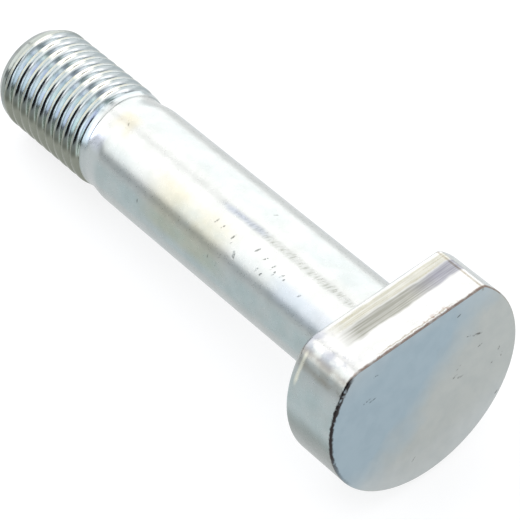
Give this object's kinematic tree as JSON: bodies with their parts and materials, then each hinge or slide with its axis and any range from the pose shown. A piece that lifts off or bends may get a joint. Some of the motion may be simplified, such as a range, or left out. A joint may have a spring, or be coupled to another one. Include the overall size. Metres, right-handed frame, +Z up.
{
  "type": "sprocket bolt",
  "caption": "Steel bolt with a thick round head that has one flat side, a plain shank and a short fine metric thread, lying flat side up.",
  "frame": {"origin": "on the floor, at the centre of the base of the bolt's bounding box", "axes": "+X from the head to the threaded tip, +Z up with the flat side of the head facing up, +Y across the bolt; its axis lies in the XZ plane and falls 6.01 degrees towards the tip"},
  "size_m": [0.0542, 0.0196, 0.0173],
  "materials": {
    "zinc_plated_steel": "forged and rolled steel with bright zinc plating, bluish and satin, with light handling marks"
  },
  "bodies": {
    "root": {"sprocket_bolt": "zinc_plated_steel"}
  },
  "joints": []
}
